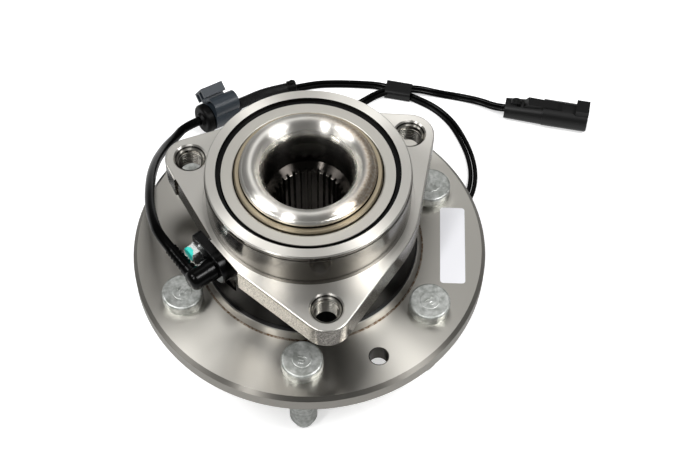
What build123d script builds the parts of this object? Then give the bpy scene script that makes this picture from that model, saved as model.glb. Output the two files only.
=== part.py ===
from build123d import *
from math import atan2, cos, degrees, hypot, pi, radians, sin, sqrt, tan
import os

# Truck front wheel hub bearing, generation 3, in millimetres.
# The wheel mounting face of the hub flange is z = 0 and the spin axis is Z.
# +Z points inboard, to the knuckle. One knuckle bolt hole lies on -Y.

# Wheel flange
FLANGE_DIA = 177.4
FLANGE_THICK = 10.0
FLANGE_EDGE_BEVEL = 2.0
FACE_EDGE_BEVEL = 0.7
BOSS_DIA = 112.8
BOSS_TOP_DIA = 109.8
BOSS_HEIGHT = 3.8
SERVICE_HOLE_DIA = 9.2
SERVICE_HOLE_PCD = 146.2
WHEEL_PILOT_DIA = 77.8
WHEEL_PILOT_HEIGHT = 11.0
WHEEL_PILOT_BEVEL = 1.8
NUT_RECESS_DIA = 60.0
NUT_SEAT_HEIGHT = 2.0
FACE_RELIEF_DIA = 98.0
FACE_RELIEF_DEPTH = 0.8

# Wheel studs
WHEEL_PCD = 139.7
STUD_COUNT = 6
STUD_PHASE = -100.4
STUD_HEAD_DIA = 20.2
STUD_HEAD_HEIGHT = 6.3
STUD_HEAD_ROUND = 1.1
STUD_KNURL_DIA = 15.1
STUD_THREAD_DIA = 14.0
STUD_REACH = 47.5
STUD_POINT_DIA = 9.4
STUD_POINT_LENGTH = 7.0
STUD_TIP_ROUND = 1.6
STUD_FIT = 0.02

# Splined bore and formed end of the spindle
SPLINE_TEETH = 33
SPLINE_MAJOR_DIA = 35.2
SPLINE_MINOR_DIA = 32.4
SPLINE_TOP = 50.0
BORE_DIA = 41.6
BORE_BOTTOM = 52.0
BORE_TOP = 66.0
LIP_TOP = 76.5
LIP_INNER_DIA = 48.8
LIP_OUTER_DIA = 65.2

# Bearing rows
BALL_DIA = 12.7
BALL_COUNT = 15
ROW_DIA = 74.0
OUTBOARD_ROW_Z = 28.5
INBOARD_ROW_Z = 58.0
RACE_PLAY = 0.04
SHOULDER_DROP = 1.8
INNER_RING_BORE_DIA = 54.0
INNER_RING_TOP = 72.0
INNER_RING_BOTTOM = 50.0
CAGE_INNER_DIA = 71.2
CAGE_OUTER_DIA = 76.8
CAGE_BACK = 7.8
CAGE_FRONT = 3.4
POCKET_PLAY = 0.2

# Outer ring
PILOT_DIA = 98.6
PILOT_LEAD_DIA = 98.0
PILOT_LEAD_LENGTH = 2.9
PILOT_BEVEL = 0.6
RING_TOP = 72.0
KNUCKLE_FACE_Z = 50.5
LUG_THICK = 13.0
LUG_PCD = 126.0
LUG_RADIUS = 12.4
LUG_COUNT = 3
LUG_HUB_DIA = 108.4
LUG_EDGE_ROUND = 0.8
KNUCKLE_THREAD_BORE = 12.4
KNUCKLE_SINK_DIA = 16.6
RELIEF_DIA = 102.2
RELIEF_DEPTH = 0.6
BODY_DIA = 103.8
BODY_BOTTOM = 16.0
TONE_BAY_DIA = 81.0
TONE_BAY_LENGTH = 10.0
SEAL_BORE_DIA = 87.8
SEAL_BORE_DEPTH = 7.6
LOWER_SEAL_BORE_DIA = 90.0
LOWER_SEAL_DEPTH = 4.2
LEAD_SIDE_FLAT = 51.9
LEAD_SIDE_TURN = 200.5

# Seals, shield and tone ring
SLINGER_SHEET = 0.8
SLINGER_RIM_GAP = 0.6
SLINGER_DROP = 1.4
SLINGER_LENGTH = 5.0
SEAL_WALL = 1.0
SEAL_RIM = 2.0
SEAL_DROP = 2.6
LIP_GAP = 0.3
SHIELD_SHEET = 1.4
SHIELD_GAP = 0.7
SHIELD_TOP_GAP = 0.4
SHIELD_LIP_DIA = 95.0
SHIELD_CORNER = 1.2
TONE_TEETH = 48
TONE_DIA = 75.2
TONE_ROOT_DIA = 71.0
TONE_WIDTH = 9.0
TONE_SLOT_SHARE = 0.5
SEAT_FIT = 0.02

# Wheel speed sensor
SENSOR_TURN = 210.0
SENSOR_Z = 41.3
SENSOR_FLAT = 52.1
SENSOR_SLIP = -0.5
SENSOR_BARREL_DIA = 11.0
SENSOR_AIR_GAP = 0.8
SENSOR_BORE_FIT = 0.08
EAR_THICK = 4.8
EAR_HEAD_RADIUS = 9.0
EAR_TAIL_REACH = 16.8
EAR_CORNER = 2.0
EAR_EDGE_ROUND = 0.7
EAR_SCREW_OFFSET = 11.5
HEAD_DIA = 11.4
HEAD_DIA_LENGTH = 4.6
HEAD_STEP_DIA = 10.6
HEAD_REACH = 14.0
HEAD_END_ROUND = 3.4
PAD_BACK = 18.5
PAD_FRONT = 9.4
PAD_DROP = 10.0
SEAT_BACK = 21.8
SEAT_FRONT = 13.8
WINDOW_GAP = 1.5
ORING_SECTION = 1.5
ORING_DEPTH = 5.0
ORING_GROOVE_WIDTH = 2.0
SCREW_DIA = 6.0
SCREW_LENGTH = 18.0
SCREW_HEAD_ACROSS = 10.0
SCREW_HEAD_HEIGHT = 4.4
SCREW_COLLAR_DIA = 11.2
SCREW_COLLAR_THICK = 1.2
BUSH_WALL = 1.2
SCREW_FIT = 0.1
OUTLET_DEPTH = 14.3
OUTLET_DROP = 0.4
OUTLET_DIA = 7.4
OUTLET_REACH = 7.0
BOOT_LENGTH = 14.0
BOOT_END_DIA = 6.2
BOOT_RIB = 0.5
BOOT_RIB_COUNT = 6

# Harness
LEAD_DIA = 5.1
SLEEVE_DIA = 6.4
WIRE_DIA = 2.5
WIRE_PITCH = 2.7
FLOOR_Z = -STUD_REACH
GROMMET_DIA = 17.0
GROMMET_RIM = 5.6
GROMMET_NECK_DIA = 13.6
GROMMET_NECK = 18.4
GROMMET_TAIL_DIA = 9.4
GROMMET_TAIL = 3.0
GROMMET_TURN = 27.0
GROMMET_DIP = 8.0
GROMMET_AT = (-48.1, 122.8, -36.9)
CLIP_START = 7.0
CLIP_LENGTH = 15.6
CLIP_BAR_LENGTH = 14.2
CLIP_WALL = 1.2
CLIP_FIT = 0.1
CLIP_MOUTH = 132.0
CLIP_MOUTH_TURN = 17.0
CLIP_LEAN = 60.0
CLIP_BAR_HEIGHT = 15.8
CLIP_BAR_WIDTH = 10.4
CLIP_HOOK = 5.6
CLIP_FLANK_AT = (-1.2, 7.5)
CLIP_FLANK_RADIUS = 5.7
BREAKOUT_DIA = 7.4
BREAKOUT_LENGTH = 5.0
BREAKOUT_KNOB = 3.0
BREAKOUT_AT = (5.5, 146.0)
TAPE_LENGTH = 15.0
TAPE_WIDTH = 10.2
TAPE_WALL = 0.35
TAPE_CORNER = 1.9
TAPE_TURN = -20.0
CROSSING_AT = (69.8, 134.9)
CROSSING_LOW = 0.5
CROSSING_HIGH = 3.7

# Connector
PLUG_LENGTH = 48.0
PLUG_BACK_WIDTH = 11.4
PLUG_BACK_HEIGHT = 10.6
PLUG_MOUTH_WIDTH = 14.8
PLUG_MOUTH_HEIGHT = 13.8
PLUG_WALL = 1.5
PLUG_SOCKET_DEPTH = 17.0
PLUG_SHOULDER = 22.0
PLUG_TURN = -19.4
PLUG_AT = (128.8, 112.6)
PLUG_END_ROUND = 0.6
RAMP_START = 13.0
RAMP_LENGTH = 17.0
RAMP_WIDTH = 5.6
RAMP_HEIGHT = 2.6
GUARD_LENGTH = 7.4
GUARD_WIDTH = 8.6
GUARD_HEIGHT = 3.4
CATCH_START = 3.0
CATCH_DIA = 6.4
CATCH_HOLE_DIA = 2.6
CATCH_WIDTH = 3.4
WIRE_ENTRY_HEIGHT = 5.0
PIN_WIDTH = 2.0
PIN_THICK = 0.8
PIN_REACH = 11.0
PIN_ROOT = 4.0
PIN_PITCH = 4.0

# Route of the sensor lead, from its boot down to the grommet.
LEAD_ROUTE = [
    (-74.2, 5.0, 36.6),
    (-76.2, 20.2, 29.8),
    (-76.9, 37.2, 20.8),
    (-75.8, 54.7, 9.5),
    (-73.5, 72.4, -3.8),
    (-70.6, 86.6, -15.5),
    (-67.3, 98.2, -24.5),
    (-62.2, 108.8, -31.6),
]
# Route of the sleeve from the grommet, x and y, as it lies on the surface.
SLEEVE_ROUTE = [
    (-10.8, 143.2),
    (-2.6, 144.9),
]
# Middle of the two wires, side by side: x, y and height over the surface.
PAIR_ROUTE = [
    (31.5, 147.4, 0.0),
    (46.5, 145.0, 0.0),
    (62.5, 141.0, CROSSING_LOW),
    (77.8, 129.9, CROSSING_LOW),
    (88.8, 121.6, 0.0),
    (96.4, 110.4, 0.0),
    (100.3, 98.5, 0.0),
    (103.0, 84.5, 0.0),
    (102.6, 70.5, 0.0),
    (98.4, 57.8, 0.0),
    (90.6, 47.6, 0.0),
    (79.0, 45.2, 0.0),
    (68.2, 52.2, 0.0),
    (56.0, 63.0, 0.0),
    (43.5, 73.5, 0.0),
    (31.5, 84.5, 0.0),
    (22.5, 97.0, 0.0),
    (23.5, 111.0, 0.0),
    (33.0, 122.0, 0.0),
    (46.0, 130.0, 0.0),
    (60.8, 134.9, CROSSING_HIGH),
    (78.8, 134.6, CROSSING_HIGH),
    (93.0, 131.4, 0.0),
    (105.5, 126.9, 0.0),
    (116.4, 121.2, 1.2),
]

# Worked out from the sizes above
FLANGE_R = FLANGE_DIA / 2
BALL_R = BALL_DIA / 2
ROW_R = ROW_DIA / 2
RACE_R = BALL_R + RACE_PLAY
INNER_RACE_R = ROW_R - RACE_R
OUTER_RACE_R = ROW_R + RACE_R
INNER_LAND_R = ROW_R - SHOULDER_DROP
OUTER_LAND_R = ROW_R + SHOULDER_DROP
SHOULDER_REACH = sqrt(RACE_R ** 2 - SHOULDER_DROP ** 2)
RACE_MID = RACE_R * cos(radians(45))
LUG_BOTTOM = KNUCKLE_FACE_Z - LUG_THICK
BOSS_TOP = FLANGE_THICK + BOSS_HEIGHT
SLINGER_R = SEAL_BORE_DIA / 2 - SEAL_RIM - SLINGER_RIM_GAP
SENSOR_TIP = TONE_DIA / 2 + SENSOR_AIR_GAP
BORE_IN_PAD_R = SENSOR_BARREL_DIA / 2 + SENSOR_BORE_FIT
EAR_FACE = SENSOR_FLAT + EAR_THICK
sensor_plane = Plane(
    origin=(0, 0, SENSOR_Z),
    x_dir=(-sin(radians(SENSOR_TURN)), cos(radians(SENSOR_TURN)), 0),
    z_dir=(cos(radians(SENSOR_TURN)), sin(radians(SENSOR_TURN)), 0),
)


def turned(profile):
    """Revolve a closed outline of (radius, z) points and arcs about the spin axis."""
    return revolve(Plane.XZ * make_face(profile), Axis.Z)


def outline(*stations):
    """Closed outline: a pair is a corner, and a triple ("arc", mid, end) bends to its end."""
    edges = []
    here = stations[0]
    for step in stations[1:]:
        if step[0] == "arc":
            edges.append(ThreePointArc(here, step[1], step[2]))
            here = step[2]
        else:
            edges.append(Line(here, step))
            here = step
    edges.append(Line(here, stations[0]))
    return edges


def disc(radius, bottom, top):
    return Pos(0, 0, bottom) * Cylinder(radius, top - bottom, align=(Align.CENTER, Align.CENTER, Align.MIN))


def around(count, radius, phase=0.0):
    """Places at even steps on a circle, each turned to face outwards."""
    return [Rot(0, 0, phase + 360 * i / count) * Pos(radius, 0, 0) for i in range(count)]


def hub_spindle():
    spline_floor = NUT_SEAT_HEIGHT
    cone_top = BORE_BOTTOM
    face_r = FACE_RELIEF_DIA / 2
    lip_mid_r = (LIP_INNER_DIA + LIP_OUTER_DIA) / 4
    seat_r = INNER_RING_BORE_DIA / 2
    race_low = OUTBOARD_ROW_Z - SHOULDER_REACH
    flare_mid = ((BORE_DIA / 2 + LIP_INNER_DIA / 2) / 2 - 0.9, (BORE_TOP + LIP_TOP - 1.0) / 2)
    body = turned(outline(
        (SPLINE_MINOR_DIA / 2, spline_floor),
        (NUT_RECESS_DIA / 2, spline_floor),
        (NUT_RECESS_DIA / 2 + WHEEL_PILOT_BEVEL, -WHEEL_PILOT_HEIGHT),
        (WHEEL_PILOT_DIA / 2 - WHEEL_PILOT_BEVEL, -WHEEL_PILOT_HEIGHT),
        (WHEEL_PILOT_DIA / 2, WHEEL_PILOT_BEVEL - WHEEL_PILOT_HEIGHT),
        (WHEEL_PILOT_DIA / 2, FACE_RELIEF_DEPTH),
        (face_r, FACE_RELIEF_DEPTH),
        (face_r + FACE_RELIEF_DEPTH, 0),
        (FLANGE_R - FACE_EDGE_BEVEL, 0),
        (FLANGE_R, FACE_EDGE_BEVEL),
        (FLANGE_R, FLANGE_THICK - FLANGE_EDGE_BEVEL),
        (FLANGE_R - FLANGE_EDGE_BEVEL, FLANGE_THICK),
        (BOSS_DIA / 2, FLANGE_THICK),
        (BOSS_TOP_DIA / 2, BOSS_TOP),
        (INNER_LAND_R + 2.0, BOSS_TOP),
        ("arc", (INNER_LAND_R + 0.6, BOSS_TOP + 0.6), (INNER_LAND_R, BOSS_TOP + 2.0)),
        (INNER_LAND_R, race_low),
        ("arc", (ROW_R - RACE_MID, OUTBOARD_ROW_Z - RACE_MID), (INNER_RACE_R, OUTBOARD_ROW_Z)),
        (INNER_RACE_R, INNER_RING_BOTTOM),
        (seat_r, INNER_RING_BOTTOM),
        (seat_r, INNER_RING_TOP),
        (LIP_OUTER_DIA / 2 - 1.6, INNER_RING_TOP),
        ("arc", (LIP_OUTER_DIA / 2, INNER_RING_TOP + 1.7), (LIP_OUTER_DIA / 2 - 1.4, LIP_TOP - 1.3)),
        ("arc", (lip_mid_r + 0.6, LIP_TOP), (LIP_INNER_DIA / 2, LIP_TOP - 1.6)),
        ("arc", flare_mid, (BORE_DIA / 2, BORE_TOP)),
        (BORE_DIA / 2, cone_top),
        (SPLINE_MINOR_DIA / 2, SPLINE_TOP - 1.0),
    ))
    body -= spline_gaps()
    stud_hole = disc(STUD_KNURL_DIA / 2 + STUD_FIT, -1, FLANGE_THICK + 1)
    service_hole = disc(SERVICE_HOLE_DIA / 2, -1, FLANGE_THICK + 1)
    body -= [place * stud_hole for place in around(STUD_COUNT, WHEEL_PCD / 2, STUD_PHASE)]
    body -= Rot(0, 0, STUD_PHASE + 180 / STUD_COUNT) * Pos(SERVICE_HOLE_PCD / 2, 0, 0) * service_hole
    return body


def spline_gaps():
    """The spaces between the internal spline teeth, each a tapered slot."""
    step = 2 * pi / SPLINE_TEETH
    root = SPLINE_MAJOR_DIA / 2
    tip = SPLINE_MINOR_DIA / 2 - 0.4
    half_root = root * sin(step * 0.19)
    half_tip = tip * sin(step * 0.29)
    slot = make_face(Polyline((tip, -half_tip), (root, -half_root), (root, half_root), (tip, half_tip), close=True))
    slot = Pos(0, 0, NUT_SEAT_HEIGHT - 1) * extrude(slot, SPLINE_TOP - NUT_SEAT_HEIGHT + 1)
    return [Rot(0, 0, 360 * i / SPLINE_TEETH) * slot for i in range(SPLINE_TEETH)]


def wheel_studs():
    head = disc(STUD_HEAD_DIA / 2, FLANGE_THICK, FLANGE_THICK + STUD_HEAD_HEIGHT)
    head = fillet(head.edges().group_by(Axis.Z)[-1], STUD_HEAD_ROUND)
    knurl = disc(STUD_KNURL_DIA / 2, 0, FLANGE_THICK)
    thread_end = STUD_POINT_LENGTH - STUD_REACH
    shank = disc(STUD_THREAD_DIA / 2, thread_end, 0)
    point = Pos(0, 0, -STUD_REACH + STUD_POINT_LENGTH / 2) * Cone(
        STUD_POINT_DIA / 2, STUD_THREAD_DIA / 2, STUD_POINT_LENGTH)
    point = fillet(point.edges().group_by(Axis.Z)[0], STUD_TIP_ROUND)
    stud = head + knurl + shank + point
    return Compound([place * stud for place in around(STUD_COUNT, WHEEL_PCD / 2, STUD_PHASE)])


def inner_ring():
    bore = INNER_RING_BORE_DIA / 2 + SEAT_FIT
    race_top = INBOARD_ROW_Z + SHOULDER_REACH
    return turned(outline(
        (bore, INNER_RING_BOTTOM),
        (INNER_RACE_R, INNER_RING_BOTTOM),
        (INNER_RACE_R, INBOARD_ROW_Z),
        ("arc", (ROW_R - RACE_MID, INBOARD_ROW_Z + RACE_MID), (INNER_LAND_R, race_top)),
        (INNER_LAND_R, INNER_RING_TOP - 0.6),
        (INNER_LAND_R - 0.6, INNER_RING_TOP),
        (bore, INNER_RING_TOP),
    ))


def balls(row_z):
    ball = Pos(0, 0, row_z) * Sphere(BALL_R)
    return Compound([place * ball for place in around(BALL_COUNT, ROW_R)])


def cage(row_z, back):
    """Snap cage: a plain ring with round pockets, its closed back turned to the other row."""
    low, high = (-CAGE_BACK, CAGE_FRONT) if back < 0 else (-CAGE_FRONT, CAGE_BACK)
    ring = disc(CAGE_OUTER_DIA / 2, row_z + low, row_z + high)
    ring -= disc(CAGE_INNER_DIA / 2, row_z + low - 1, row_z + high + 1)
    pocket = Pos(0, 0, row_z) * Sphere(BALL_R + POCKET_PLAY)
    return ring - [place * pocket for place in around(BALL_COUNT, ROW_R)]


def tone_ring():
    low = SENSOR_Z - TONE_WIDTH / 2
    high = SENSOR_Z + TONE_WIDTH / 2
    ring = disc(TONE_DIA / 2, low, high) - disc(INNER_RACE_R + SEAT_FIT, low - 1, high + 1)
    gap = TONE_SLOT_SHARE * pi * TONE_DIA / TONE_TEETH
    depth = (TONE_DIA - TONE_ROOT_DIA) / 2
    slot = Pos(0, 0, SENSOR_Z) * Box(2 * depth, gap, TONE_WIDTH - 3.0)
    return ring - [place * slot for place in around(TONE_TEETH, TONE_DIA / 2)]


def lug_outline():
    """Round hub and three lugs, joined by their common tangents."""
    shape = Circle(LUG_HUB_DIA / 2)
    reach = LUG_PCD / 2
    lean = degrees(atan2(sqrt(reach ** 2 - (LUG_HUB_DIA / 2 - LUG_RADIUS) ** 2), LUG_HUB_DIA / 2 - LUG_RADIUS))
    for place in around(LUG_COUNT, reach, -90):
        shape += place * Circle(LUG_RADIUS)
    for i in range(LUG_COUNT):
        arm = -90 + 360 * i / LUG_COUNT
        corners = []
        for turn, radius, far in ((lean, LUG_HUB_DIA / 2, 0), (lean, LUG_RADIUS, 1),
                                  (-lean, LUG_RADIUS, 1), (-lean, LUG_HUB_DIA / 2, 0)):
            x = far * reach * cos(radians(arm)) + radius * cos(radians(arm + turn))
            y = far * reach * sin(radians(arm)) + radius * sin(radians(arm + turn))
            corners.append((x, y))
        shape += make_face(Polyline(*corners, close=True))
    return shape


def outer_ring():
    lug_plate = extrude(Pos(0, 0, LUG_BOTTOM) * lug_outline(), LUG_THICK)
    lug_plate = fillet(lug_plate.edges().group_by(Axis.Z)[-1], LUG_EDGE_ROUND)
    pilot_r = PILOT_DIA / 2
    barrel = turned(outline(
        (TONE_BAY_DIA / 2 - 3, BODY_BOTTOM),
        (BODY_DIA / 2 - 0.8, BODY_BOTTOM),
        (BODY_DIA / 2, BODY_BOTTOM + 0.8),
        (BODY_DIA / 2, LUG_BOTTOM + 1),
        (pilot_r, LUG_BOTTOM + 1),
        (pilot_r, RING_TOP - PILOT_LEAD_LENGTH),
        (PILOT_LEAD_DIA / 2, RING_TOP - PILOT_LEAD_LENGTH - 0.3),
        (PILOT_LEAD_DIA / 2, RING_TOP - PILOT_BEVEL),
        (PILOT_LEAD_DIA / 2 - PILOT_BEVEL, RING_TOP),
        (TONE_BAY_DIA / 2 - 3, RING_TOP),
    ))
    pad = sensor_plane * Pos((PAD_FRONT - PAD_BACK) / 2, (EAR_HEAD_RADIUS - PAD_DROP) / 2, SENSOR_FLAT / 2)
    pad *= Box(PAD_FRONT + PAD_BACK, EAR_HEAD_RADIUS + PAD_DROP, SENSOR_FLAT)
    ring = lug_plate + barrel + (pad & disc(FLANGE_R, BODY_BOTTOM + 2, LUG_BOTTOM + 1))
    ring -= disc(RELIEF_DIA / 2, KNUCKLE_FACE_Z - RELIEF_DEPTH, KNUCKLE_FACE_Z + 1) - disc(
        pilot_r, KNUCKLE_FACE_Z - 2, KNUCKLE_FACE_Z + 2)
    ring -= bearing_bore()
    ring -= knuckle_holes()
    ring -= side_flats()
    return ring - sensor_bores()


def bearing_bore():
    """Everything that is bored out of the outer ring, from one end to the other."""
    in_top = INBOARD_ROW_Z - SHOULDER_REACH
    out_top = OUTBOARD_ROW_Z + SHOULDER_REACH
    bay_low = SENSOR_Z - TONE_BAY_LENGTH / 2
    bay_high = SENSOR_Z + TONE_BAY_LENGTH / 2
    return turned(outline(
        (0, BODY_BOTTOM - 1),
        (LOWER_SEAL_BORE_DIA / 2, BODY_BOTTOM - 1),
        (LOWER_SEAL_BORE_DIA / 2, BODY_BOTTOM + LOWER_SEAL_DEPTH),
        (OUTER_RACE_R, BODY_BOTTOM + LOWER_SEAL_DEPTH),
        (OUTER_RACE_R, OUTBOARD_ROW_Z),
        ("arc", (ROW_R + RACE_MID, OUTBOARD_ROW_Z + RACE_MID), (OUTER_LAND_R, out_top)),
        (OUTER_LAND_R, bay_low),
        (TONE_BAY_DIA / 2, bay_low + 1.5),
        (TONE_BAY_DIA / 2, bay_high - 1.5),
        (OUTER_LAND_R, bay_high),
        (OUTER_LAND_R, in_top),
        ("arc", (ROW_R + RACE_MID, INBOARD_ROW_Z - RACE_MID), (OUTER_RACE_R, INBOARD_ROW_Z)),
        (OUTER_RACE_R, RING_TOP - SEAL_BORE_DEPTH),
        (SEAL_BORE_DIA / 2, RING_TOP - SEAL_BORE_DEPTH),
        (SEAL_BORE_DIA / 2, RING_TOP + 1),
        (0, RING_TOP + 1),
    ))


def knuckle_holes():
    bore = disc(KNUCKLE_THREAD_BORE / 2, LUG_BOTTOM - 1, KNUCKLE_FACE_Z + 1)
    depth = (KNUCKLE_SINK_DIA - KNUCKLE_THREAD_BORE) / 2
    sink = Pos(0, 0, KNUCKLE_FACE_Z - depth / 2) * Cone(KNUCKLE_THREAD_BORE / 2, KNUCKLE_SINK_DIA / 2, depth)
    return [place * (bore + sink) for place in around(LUG_COUNT, LUG_PCD / 2, -90)]


def side_flats():
    """The milled seat of the sensor and the trimmed lug edge beside its lead."""
    block = 40.0
    seat = sensor_plane * Pos((SEAT_FRONT - SEAT_BACK) / 2, 0, SENSOR_FLAT + block / 2)
    seat *= Box(SEAT_FRONT + SEAT_BACK, 2 * KNUCKLE_FACE_Z, block)
    seat &= disc(FLANGE_R, BODY_BOTTOM + 3, KNUCKLE_FACE_Z + 1)
    trim = Rot(0, 0, LEAD_SIDE_TURN) * Pos(LEAD_SIDE_FLAT + block / 2, -block / 2, LUG_BOTTOM + LUG_THICK / 2)
    trim *= Box(block, block, LUG_THICK + 2)
    return [seat, trim]


def sensor_bores():
    barrel = sensor_plane * Pos(SENSOR_SLIP, 0, 0) * disc(BORE_IN_PAD_R, TONE_BAY_DIA / 2 - 4, SENSOR_FLAT + 1)
    screw = sensor_plane * Pos(SENSOR_SLIP - EAR_SCREW_OFFSET, 0, 0) * disc(
        SCREW_DIA / 2 + SCREW_FIT / 2, EAR_FACE - SCREW_LENGTH - 1, SENSOR_FLAT + 1)
    return [barrel, screw]


def inboard_slinger():
    """Pressed L-shaped flinger on the inner ring, its corner rolled over."""
    seat = INNER_LAND_R + SEAT_FIT
    top = INNER_RING_TOP - SLINGER_DROP
    low = top - SLINGER_LENGTH
    bend = 1.3
    quarter = bend * cos(radians(45))
    inner = bend - SLINGER_SHEET
    inner_quarter = inner * cos(radians(45))
    x = seat + bend
    z = top - bend
    return turned(outline(
        (seat, low),
        (seat + SLINGER_SHEET, low),
        (seat + SLINGER_SHEET, z),
        ("arc", (x - inner_quarter, z + inner_quarter), (x, z + inner)),
        (SLINGER_R, z + inner),
        (SLINGER_R, top),
        (x, top),
        ("arc", (x - quarter, z + quarter), (seat, z)),
    ))


def inboard_seal():
    """Rubber-covered seal case in the outer ring, with an outer rim, two lips and a web."""
    rim = SEAL_BORE_DIA / 2 - SEAT_FIT
    floor = RING_TOP - SEAL_BORE_DEPTH + SEAT_FIT
    top = RING_TOP - SEAL_DROP
    web = floor + SEAL_WALL
    sleeve = INNER_LAND_R + SEAT_FIT + SLINGER_SHEET + LIP_GAP
    flange_under = INNER_RING_TOP - SLINGER_DROP - SLINGER_SHEET - LIP_GAP
    room = rim - SEAL_RIM - sleeve
    return turned(outline(
        (sleeve + 0.16 * room, floor),
        (rim, floor),
        (rim, top),
        (rim - SEAL_RIM, top),
        (rim - SEAL_RIM, web + SEAL_WALL),
        (sleeve + 0.75 * room, web),
        (sleeve + 0.6 * room, web),
        (sleeve + 0.75 * room, flange_under),
        (sleeve + 0.6 * room, flange_under),
        (sleeve + 0.4 * room, web),
        (sleeve + 0.2 * room, web),
        (sleeve, web + 1.1 * SEAL_WALL),
        (sleeve, web + 0.6 * SEAL_WALL),
    ))


def outboard_seal():
    """Lip seal at the outboard end, running on the shoulder of the hub flange."""
    rim = LOWER_SEAL_BORE_DIA / 2 - SEAT_FIT
    top = BODY_BOTTOM + LOWER_SEAL_DEPTH - SEAT_FIT
    low = BODY_BOTTOM + 0.4
    lip = INNER_LAND_R + LIP_GAP
    under = BOSS_TOP + LIP_GAP
    return turned(outline(
        (lip + 1.6, top),
        (rim, top),
        (rim, low),
        (rim - 1.4, low),
        (rim - 1.4, top - 1.2),
        (rim - 3.6, top - 1.2),
        (rim - 2.4, under),
        (rim - 3.1, under),
        (rim - 4.8, top - 1.4),
        (lip + 1.4, top - 1.4),
        (lip, top - 2.6),
        (lip, top - 1.9),
    ))


def outboard_shield():
    """Deep-drawn steel dust shield over the outboard end, with a window for the sensor pad."""
    seat = BODY_DIA / 2 + SEAT_FIT
    wall = seat + SHIELD_SHEET
    low = BOSS_TOP + SHIELD_GAP
    top = LUG_BOTTOM - SHIELD_TOP_GAP
    lip = SHIELD_LIP_DIA / 2
    quarter = SHIELD_CORNER * (1 - cos(radians(45)))
    shield = turned(outline(
        (lip, low),
        (wall - SHIELD_CORNER, low),
        ("arc", (wall - quarter, low + quarter), (wall, low + SHIELD_CORNER)),
        (wall, top),
        (seat, top),
        (seat, low + SHIELD_SHEET),
        (lip, low + SHIELD_SHEET),
    ))
    window = sensor_plane * Pos((PAD_FRONT - PAD_BACK) / 2, 0, SENSOR_FLAT) * Box(
        PAD_FRONT + PAD_BACK + 2 * WINDOW_GAP, 2 * (PAD_DROP + WINDOW_GAP), BODY_DIA - TONE_BAY_DIA)
    return shield - window


def sensor_body():
    """Moulded sensor: probe, mounting ear, stepped head and sideways cable outlet."""
    probe = disc(SENSOR_BARREL_DIA / 2, SENSOR_TIP, SENSOR_FLAT)
    probe = chamfer(probe.edges().group_by(Axis.Z)[0], 0.8)
    groove_low = SENSOR_FLAT - ORING_DEPTH - ORING_GROOVE_WIDTH / 2
    groove_r = BORE_IN_PAD_R - ORING_SECTION - 0.05
    groove = disc(SENSOR_BARREL_DIA, groove_low, groove_low + ORING_GROOVE_WIDTH)
    probe -= groove - disc(groove_r, groove_low - 1, groove_low + ORING_GROOVE_WIDTH + 1)
    tail = RectangleRounded(EAR_TAIL_REACH, 2 * EAR_HEAD_RADIUS, EAR_CORNER)
    ear = Circle(EAR_HEAD_RADIUS) + Pos(-EAR_TAIL_REACH / 2, 0) * tail
    ear = Pos(0, 0, SENSOR_FLAT) * extrude(ear, EAR_THICK)
    ear = fillet(ear.edges().group_by(Axis.Z)[-1], EAR_EDGE_ROUND)
    ear -= Pos(-EAR_SCREW_OFFSET, 0, 0) * disc(
        SCREW_DIA / 2 + SCREW_FIT + BUSH_WALL + SEAT_FIT, SENSOR_FLAT - 1, EAR_FACE + 1)
    head = disc(HEAD_DIA / 2, EAR_FACE, EAR_FACE + HEAD_DIA_LENGTH)
    head += disc(HEAD_STEP_DIA / 2, EAR_FACE, EAR_FACE + HEAD_REACH)
    head = fillet(head.edges().group_by(Axis.Z)[-1], HEAD_END_ROUND)
    outlet = Pos(-OUTLET_REACH / 2, -OUTLET_DROP, EAR_FACE - EAR_THICK + OUTLET_DEPTH) * Rot(0, 90, 0)
    outlet *= Cylinder(OUTLET_DIA / 2, OUTLET_REACH)
    return sensor_plane * Pos(SENSOR_SLIP, 0, 0) * (probe + ear + head + outlet)


def sensor_o_ring():
    ring = Pos(0, 0, SENSOR_FLAT - ORING_DEPTH) * Torus(
        BORE_IN_PAD_R - ORING_SECTION / 2 - 0.03, ORING_SECTION / 2)
    return sensor_plane * Pos(SENSOR_SLIP, 0, 0) * ring


def sensor_bush():
    inside = SCREW_DIA / 2 + SCREW_FIT
    bush = disc(inside + BUSH_WALL, SENSOR_FLAT, EAR_FACE) - disc(inside, SENSOR_FLAT - 1, EAR_FACE + 1)
    return sensor_plane * Pos(SENSOR_SLIP - EAR_SCREW_OFFSET, 0, 0) * bush


def sensor_screw():
    collar_top = EAR_FACE + SCREW_COLLAR_THICK
    shank = disc(SCREW_DIA / 2, EAR_FACE - SCREW_LENGTH, EAR_FACE)
    collar = disc(SCREW_COLLAR_DIA / 2, EAR_FACE, collar_top)
    collar = chamfer(collar.edges().group_by(Axis.Z)[-1], 0.5)
    hexagon = RegularPolygon(SCREW_HEAD_ACROSS / 2, 6, major_radius=False, rotation=0)
    head = Pos(0, 0, collar_top) * extrude(hexagon, SCREW_HEAD_HEIGHT)
    crown = Pos(0, 0, collar_top) * Cone(
        SCREW_HEAD_ACROSS / 2 + SCREW_HEAD_HEIGHT, SCREW_HEAD_ACROSS / 2 - 0.2,
        SCREW_HEAD_HEIGHT, align=(Align.CENTER, Align.CENTER, Align.MIN))
    return sensor_plane * Pos(SENSOR_SLIP - EAR_SCREW_OFFSET, 0, 0) * (shank + collar + (head & crown))


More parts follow.
